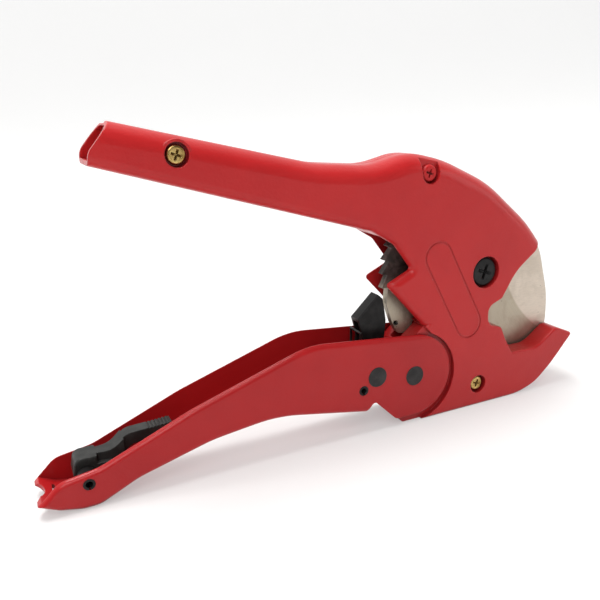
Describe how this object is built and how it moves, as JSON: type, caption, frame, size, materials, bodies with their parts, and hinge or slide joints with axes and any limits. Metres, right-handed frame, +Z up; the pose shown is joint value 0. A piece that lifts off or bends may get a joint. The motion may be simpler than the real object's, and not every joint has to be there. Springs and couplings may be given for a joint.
{
  "type": "ratcheting plastic pipe cutter",
  "caption": "Hand ratchet cutter for plastic pipe: open C-shaped jaw, sector blade with toothed tail, hollow upper grip and channel-shaped lower handle with a drive pawl.",
  "frame": {"origin": "centre of the bounding box at its base, in the tool's middle plane", "axes": "+X from the grips towards the jaw's tip, +Y towards the far shell, +Z up as the tool stands with the blade shut and the handles open"},
  "size_m": [0.2378, 0.0222, 0.1289],
  "materials": {
    "red_casting": "satin",
    "red_sheet_steel": "gloss",
    "blade_steel": "satin",
    "zinc_steel": "satin",
    "black_steel": "satin",
    "dark_rivet_steel": "satin",
    "spring_steel": "satin",
    "brass_plated_screw": "satin",
    "red_screw": "satin",
    "latch_grey": "satin"
  },
  "bodies": {
    "body": {"near_body_shell": "red_casting", "far_body_shell": "red_casting", "blade_bushing": "zinc_steel", "near_blade_washer": "zinc_steel", "far_blade_washer": "zinc_steel", "blade_pivot_screw": "black_steel", "blade_pivot_nut": "black_steel", "blade_return_spring": "spring_steel", "rear_handle_screw": "brass_plated_screw", "top_body_screw": "red_screw", "front_body_screw": "brass_plated_screw", "holding_pawl_pin": "zinc_steel", "holding_pawl_spring": "spring_steel"},
    "blade": {"blade": "blade_steel"},
    "holding_pawl": {"holding_pawl": "black_steel"},
    "lower_handle": {"lower_handle": "red_sheet_steel", "handle_pivot_pin": "dark_rivet_steel", "pawl_pin": "dark_rivet_steel", "spring_stop_pin": "zinc_steel", "drive_pawl_spring": "spring_steel", "latch_roll_pin": "zinc_steel", "near_latch_spacer": "zinc_steel", "far_latch_spacer": "zinc_steel"},
    "drive_pawl": {"drive_pawl": "black_steel"},
    "latch": {"latch_lever": "latch_grey"}
  },
  "joints": [
    {"name": "handle_hinge", "type": "hinge", "parent": "body", "child": "lower_handle", "pos_m": [0.031, 0, 0.021], "axis": [0, 1, 0], "range_deg": [0, 38]},
    {"name": "blade_hinge", "type": "hinge", "parent": "body", "child": "blade", "pos_m": [0.0665, 0, 0.0605], "axis": [0, -1, 0], "range_deg": [0, 74], "deforming": ["blade_return_spring"]},
    {"name": "drive_pawl_hinge", "type": "hinge", "parent": "lower_handle", "child": "drive_pawl", "pos_m": [0.013, 0, 0.0243], "axis": [0, -1, 0], "range_deg": [0, 52], "deforming": ["drive_pawl_spring"]},
    {"name": "holding_pawl_hinge", "type": "hinge", "parent": "body", "child": "holding_pawl", "pos_m": [0.0175, 0, 0.101], "axis": [0, -1, 0], "range_deg": [0, 8], "deforming": ["holding_pawl_spring"]},
    {"name": "latch_hinge", "type": "hinge", "parent": "lower_handle", "child": "latch", "pos_m": [-0.102, 0, 0.0095], "axis": [0, -1, 0], "range_deg": [0, 135]}
  ],
  "couplings": [
    {"joint": "drive_pawl_hinge", "follows": "handle_hinge", "ratio": 1.35}
  ]
}
